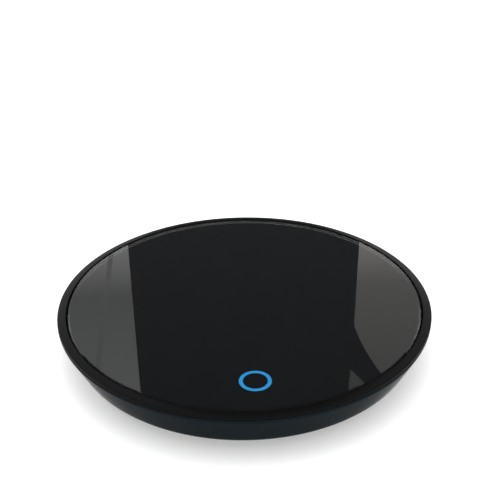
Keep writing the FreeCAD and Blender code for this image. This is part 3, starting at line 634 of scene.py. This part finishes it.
def make_screws():
    low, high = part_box("base_screws")
    circle = (high.x - BASE_HEAD_RADIUS) / math.cos(math.radians(BASE_SCREW_ANGLES[0]))
    screw = cross_screw("base_screw", low.z, BASE_HEAD_HEIGHT, BASE_HEAD_RADIUS, BASE_SHANK_RADIUS, high.z)
    screws = repeat("base_cover_screws", screw, around(circle, BASE_SCREW_ANGLES))
    place(screws, "base", "zinc_steel", "base_screws")

    low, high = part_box("retaining_screws")
    circle = high.x - RETAINER_HEAD_RADIUS
    screw = cross_screw("retaining_screw", low.z, RETAINER_HEAD_HEIGHT, RETAINER_HEAD_RADIUS,
                        RETAINER_SHANK_RADIUS, high.z)
    screws = repeat("plate_retaining_screws", screw, around(circle, GUIDE_ANGLES.values()))
    place(screws, "warming_plate", "zinc_steel", "retaining_screws")


def make_plate_springs():
    for side in GUIDE_ANGLES:
        low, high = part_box(f"plate_spring_{side}")
        centre = (low + high) / 2
        radius = (high.x - low.x) / 2 - SPRING_WIRE
        rise = high.z - low.z - 2 * SPRING_WIRE
        line = []
        for step in range(SPRING_TURNS * TURN_STEPS + 1):
            turn = step / TURN_STEPS
            angle = 2 * math.pi * turn
            level = low.z + SPRING_WIRE + rise * turn / SPRING_TURNS
            line.append((centre.x + radius * math.cos(angle), centre.y + radius * math.sin(angle), level))
        spring = tube(f"coil_spring_{side}", [line], SPRING_WIRE)
        place(spring, "base", "spring_steel", f"plate_spring_{side}")
        shorten(spring)


def make_wires(name, routes, slot, node):
    """Wires along the routes, placed on the base with the material of their slot."""
    wires = tube(name, [bent(route, WIRE_BEND) for route in routes], WIRE_RADIUS)
    place(wires, "base", slot, node)
    shorten(wires)


def make_leads():
    """Wires from the board up to the plate."""
    low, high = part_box("heater_leads")
    level = low.z + WIRE_RADIUS
    x = high.x - WIRE_RADIUS
    routes = [[(x, y, high.z), (x, y, level), (low.x, y, level)]
              for y in (low.y + WIRE_RADIUS, high.y - WIRE_RADIUS)]
    make_wires("heater_wire_pair", routes, "wire_red", "heater_leads")

    low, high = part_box("sensor_leads")
    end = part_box("sensor_connector")[0].x
    top = high.z - WIRE_RADIUS
    x = low.x + WIRE_RADIUS
    routes = [[(high.x, y, top), (x, y, top), (x, y, level), (end, y, level)]
              for y in (low.y + WIRE_RADIUS, high.y - WIRE_RADIUS)]
    make_wires("sensor_wire_pair", routes, "wire_white", "sensor_leads")

    low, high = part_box("key_cable")
    side = high.x - WIRE_RADIUS
    y = low.y + WIRE_RADIUS
    routes = [[(x, y, high.z), (x, y, level), (x, high.y, level)] for x in (-side, 0, side)]
    make_wires("key_wire_set", routes, "wire_white", "key_cable")


# Studio

# Strength of the world for the light it casts; where it is seen it is plain white
AMBIENT = 0.86

FLOOR_REACH = 6.0
FLOOR_CELLS = 8
FLOOR_SCALE = 2.0
FLOOR_SHADES = ((0.925, 0.925, 0.925), (0.935, 0.935, 0.935))
FLOOR_ROUGHNESS = 0.9
FLOOR_LIFT = 0.31

LAMP_PLACE = (-0.05, -0.1, 1.5)
LAMP_SIZE = 1.4
LAMP_POWER = 11.5

# Boards behind the object stand a step apart, so that each hides those behind it
BACK_DISTANCE = 0.6
BACK_STEP = 0.001
BACK_REACH = 0.9
DARK_LEVEL = 0.12
DARK_LEFT = -0.0915
DARK_RIGHT = 0.173
DARK_LOW = 0.05
DARK_HIGH = 1.1
# Above this level the dark board's right edge leans out, by these shares of the rise and its square
LEAN_START = 0.437
LEAN_STEP = 0.02
LEAN_STEPS = 10
LEAN_SLOPE = 0.33
LEAN_CURVE = 2.4
# Windows, each with its level low down and at its top; below the glow's top both brighten to their foot
WINDOW_LOW = 0.28
LEFT_WINDOW_HIGH = 0.54
LEFT_WINDOW_LEVELS = (0.70, 1.2)
RIGHT_WINDOW_HIGH = 0.56
RIGHT_WINDOW_LEVELS = (0.80, 0.70)
GLOW_TOP = 0.38
FOOT_GLOW = 1.1
WARM_WHITE = (1.0, 0.97, 0.93)
STRIPE_OUTLINE = ((-0.0985, 0.27), (-0.1040, 0.27), (-0.1470, 0.5), (-0.1415, 0.5))
STRIPE_LEVEL = 0.80
SMALL_WINDOW_OUTLINE = ((0.1712, 0.502), (0.1696, 0.545), (0.209, 0.545))
SMALL_WINDOW_LEVEL = 0.55
# Boards in front and at the sides
FRONT_DISTANCE = 0.9
FRONT_REACH = 2.4
SIDE_DISTANCE = 0.95
SIDE_FRONT = -0.89
SIDE_REAR = 0.55
NEAR_LOW = 0.3
NEAR_HIGH = 3.5
# Round card that lies under the casing and lights its sides, with a corner at every such turn in degrees
CARD_LEVEL = 0.0005
CARD_GLOW = 1.0
CARD_TURN = 5


def ray_that_sees(tree):
    """One where the camera, a reflection or glass looks at the surface, zero where it only casts light."""
    path = tree.nodes.new("ShaderNodeLightPath")
    total = path.outputs["Is Camera Ray"]
    for ray in ("Is Glossy Ray", "Is Transmission Ray"):
        node = tree.nodes.new("ShaderNodeMath")
        node.operation = "MAXIMUM"
        tree.links.new(total, node.inputs[0])
        tree.links.new(path.outputs[ray], node.inputs[1])
        total = node.outputs[0]
    return total


def make_world():
    world = bpy.data.worlds.new("studio_white")
    bpy.context.scene.world = world
    world.use_nodes = True
    tree = world.node_tree
    background = tree.nodes["Background"]
    background.inputs["Color"].default_value = (1, 1, 1, 1)
    strength = ramp(tree, ray_that_sees(tree), AMBIENT, 1.0, start=0.0, end=1.0)
    tree.links.new(strength, background.inputs["Strength"])


def make_floor():
    """A pale floor that takes the shadow, lifted so that it is white where it is open."""
    shape = bmesh.new()
    bmesh.ops.create_grid(shape, x_segments=FLOOR_CELLS, y_segments=FLOOR_CELLS, size=FLOOR_REACH)
    floor = finish_mesh("studio_floor", shape)
    material, tree, shader = new_material("studio_floor")
    cloud = noise(tree, FLOOR_SCALE)
    tree.links.new(mix_colour(tree, cloud, *FLOOR_SHADES), shader.inputs["Base Color"])
    shader.inputs["Roughness"].default_value = FLOOR_ROUGHNESS
    shader.inputs["Specular IOR Level"].default_value = 0.0
    shader.inputs["Emission Color"].default_value = (1, 1, 1, 1)
    lift = ramp(tree, ray_that_sees(tree), 0.0, FLOOR_LIFT, start=0.0, end=1.0)
    tree.links.new(lift, shader.inputs["Emission Strength"])
    floor.data.materials.append(material)


def rectangle(start, end, low, high):
    return [(start, low), (end, low), (end, high), (start, high)]


def across(outline, distance):
    """Corners of a board that faces the front, from (x, z) points."""
    return [(x, distance, z) for x, z in outline]


def beside(outline, distance):
    """Corners of a board that faces the side, from (y, z) points."""
    return [(distance, y, z) for y, z in outline]


def make_flag(name, corners, level, top_level=None, foot_glow=0.0, tint=(1, 1, 1)):
    """A board that only glossy surfaces see: even, or changing towards its top and glowing at its foot."""
    shape = bmesh.new()
    shape.faces.new([shape.verts.new(corner) for corner in corners])
    flag = finish_mesh(name, shape)
    material, tree, shader = new_material(name)
    shader.inputs["Base Color"].default_value = (0, 0, 0, 1)
    shader.inputs["Roughness"].default_value = 1.0
    shader.inputs["Specular IOR Level"].default_value = 0.0
    shader.inputs["Emission Color"].default_value = (*tint, 1)
    shader.inputs["Emission Strength"].default_value = level
    material.cycles.emission_sampling = "NONE"
    if top_level is not None:
        heights = [corner[2] for corner in corners]
        coordinates = tree.nodes.new("ShaderNodeTexCoord")
        split = tree.nodes.new("ShaderNodeSeparateXYZ")
        tree.links.new(coordinates.outputs["Object"], split.inputs["Vector"])
        fade = ramp(tree, split.outputs["Z"], level, top_level, GLOW_TOP, max(heights))
        glow = ramp(tree, split.outputs["Z"], foot_glow, 0.0, min(heights), GLOW_TOP)
        both = tree.nodes.new("ShaderNodeMath")
        both.operation = "ADD"
        tree.links.new(fade, both.inputs[0])
        tree.links.new(glow, both.inputs[1])
        tree.links.new(both.outputs[0], shader.inputs["Emission Strength"])
    flag.data.materials.append(material)
    flag.visible_camera = False
    flag.visible_diffuse = False
    flag.visible_shadow = False
    flag.visible_transmission = False


def make_back_boards():
    """A dark board, windows beside it and a step behind, and a thin stripe and a small window in front."""
    rises = [LEAN_STEP * step for step in range(LEAN_STEPS)]
    leaning = [(DARK_RIGHT + LEAN_SLOPE * rise + LEAN_CURVE * rise ** 2, LEAN_START + rise) for rise in rises]
    top_right = (leaning[-1][0], DARK_HIGH)
    outline = [(DARK_LEFT, DARK_LOW), (DARK_RIGHT, DARK_LOW), *leaning, top_right, (DARK_LEFT, DARK_HIGH)]
    make_flag("dark_flag", across(outline, BACK_DISTANCE), DARK_LEVEL)

    outline = rectangle(-BACK_REACH, DARK_LEFT, WINDOW_LOW, LEFT_WINDOW_HIGH)
    corners = across(outline, BACK_DISTANCE + BACK_STEP)
    make_flag("left_window", corners, *LEFT_WINDOW_LEVELS, FOOT_GLOW)

    outline = rectangle(DARK_RIGHT, BACK_REACH, WINDOW_LOW, RIGHT_WINDOW_HIGH)
    corners = across(outline, BACK_DISTANCE + 2 * BACK_STEP)
    make_flag("right_window", corners, *RIGHT_WINDOW_LEVELS, FOOT_GLOW, WARM_WHITE)

    make_flag("thin_flag", across(STRIPE_OUTLINE, BACK_DISTANCE - BACK_STEP), STRIPE_LEVEL)
    corners = across(SMALL_WINDOW_OUTLINE, BACK_DISTANCE - 2 * BACK_STEP)
    make_flag("small_window", corners, SMALL_WINDOW_LEVEL)


def make_near_boards():
    """Dark boards at the sides and in front, and a bright card under the casing."""
    outline = rectangle(SIDE_FRONT, SIDE_REAR, NEAR_LOW, NEAR_HIGH)
    make_flag("left_side_flag", beside(outline, -SIDE_DISTANCE), DARK_LEVEL)
    make_flag("right_side_flag", beside(outline, SIDE_DISTANCE), DARK_LEVEL)
    outline = rectangle(-FRONT_REACH, FRONT_REACH, NEAR_LOW, NEAR_HIGH)
    make_flag("front_flag", across(outline, -FRONT_DISTANCE), DARK_LEVEL)
    card = [(x, y, CARD_LEVEL) for x, y in around(KNEE_RADIUS, range(0, 360, CARD_TURN))]
    make_flag("bounce_card", card, CARD_GLOW)


def make_lamp():
    """A broad soft lamp over the object, which no reflection shows."""
    light = bpy.data.lights.new("soft_top", "AREA")
    light.shape = "RECTANGLE"
    light.size = LAMP_SIZE
    light.size_y = LAMP_SIZE
    light.energy = LAMP_POWER
    lamp = link("soft_top", light)
    lamp.location = LAMP_PLACE
    lamp.rotation_euler = (-Vector(LAMP_PLACE)).to_track_quat("-Z", "Y").to_euler()
    lamp.visible_glossy = False


# Camera, fitted to the rim's outline in the photograph

FOCAL_PIXELS = 852.3
FRAME_PIXELS = 500
SENSOR = 36.0
CLIP_START = 0.01
CAMERA_DISTANCE = 0.25615
CAMERA_RISE = 0.15915
CAMERA_TURN = math.radians(-3.77)
CAMERA_YAW = -0.0082
CAMERA_PITCH = 0.4987
CAMERA_ROLL = -0.0083


def make_camera():
    data = bpy.data.cameras.new("camera")
    data.sensor_width = SENSOR
    data.lens = FOCAL_PIXELS * SENSOR / FRAME_PIXELS
    data.clip_start = CLIP_START
    camera = link("camera", data)
    forward = Vector((0, math.cos(CAMERA_PITCH), -math.sin(CAMERA_PITCH)))
    up = Vector((0, math.sin(CAMERA_PITCH), math.cos(CAMERA_PITCH)))
    right = Vector((1, 0, 0))
    rolled_right = right * math.cos(CAMERA_ROLL) + up * math.sin(CAMERA_ROLL)
    rolled_up = up * math.cos(CAMERA_ROLL) - right * math.sin(CAMERA_ROLL)
    axes = Matrix((rolled_right, rolled_up, -forward)).transposed().to_4x4()
    stand = Matrix.Rotation(CAMERA_TURN, 4, "Z") @ Vector((0, -CAMERA_DISTANCE, CAMERA_RISE))
    look = Matrix.Rotation(CAMERA_TURN + CAMERA_YAW, 4, "Z")
    camera.matrix_world = Matrix.Translation(stand + Vector((0, 0, RIM_LEVEL))) @ look @ axes
    bpy.context.scene.camera = camera


materials = make_materials()
dress_nodes()

make_bezel()
make_housing()
make_glass()
make_print()
make_light_guide()
make_feet()
make_screws()
make_plate_springs()
make_leads()

make_world()
make_floor()
make_back_boards()
make_near_boards()
make_lamp()
make_camera()
bpy.context.scene.view_settings.view_transform = "Standard"

bpy.context.view_layer.update()
